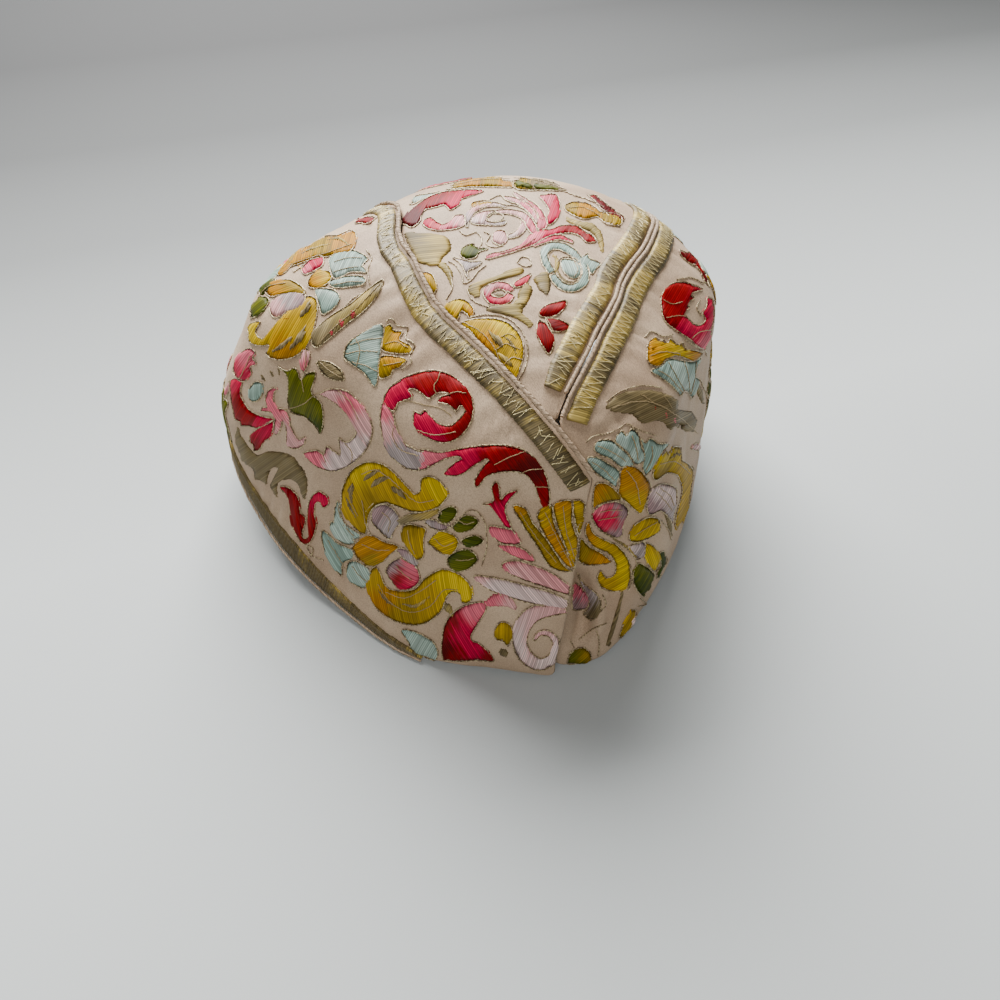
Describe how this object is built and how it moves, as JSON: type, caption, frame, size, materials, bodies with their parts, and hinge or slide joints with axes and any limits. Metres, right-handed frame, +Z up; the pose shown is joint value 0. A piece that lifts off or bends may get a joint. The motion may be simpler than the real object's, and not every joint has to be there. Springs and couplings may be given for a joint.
{
  "type": "embroidered silk cap",
  "caption": "Small soft close-fitting silk cap with curved seams, metal-thread bands and raised floral embroidery, open below and standing on its hem.",
  "frame": {"origin": "middle of the cap's box, on the surface that its hem rests on", "axes": "+Z up, +Y towards the forehead, +X towards the wearer's right hand"},
  "size_m": [0.145, 0.1576, 0.079],
  "materials": {
    "silk_satin": "pale pinkish-beige silk satin, stitched with coloured silk flowers outlined in couched metal thread",
    "seam_metal_thread": "bands of closely laid gold metal thread, tarnished olive-brown in places",
    "hem_metal_thread": "narrow border of dark tarnished metal thread along the hem"
  },
  "bodies": {
    "root": {"crown_gore": "silk_satin", "left_side": "silk_satin", "right_side": "silk_satin", "left_seam_band": "seam_metal_thread", "right_seam_band": "seam_metal_thread", "crown_seam_band": "seam_metal_thread", "left_hem_band": "hem_metal_thread", "right_hem_band": "hem_metal_thread", "crown_hem_band": "hem_metal_thread"}
  },
  "joints": []
}
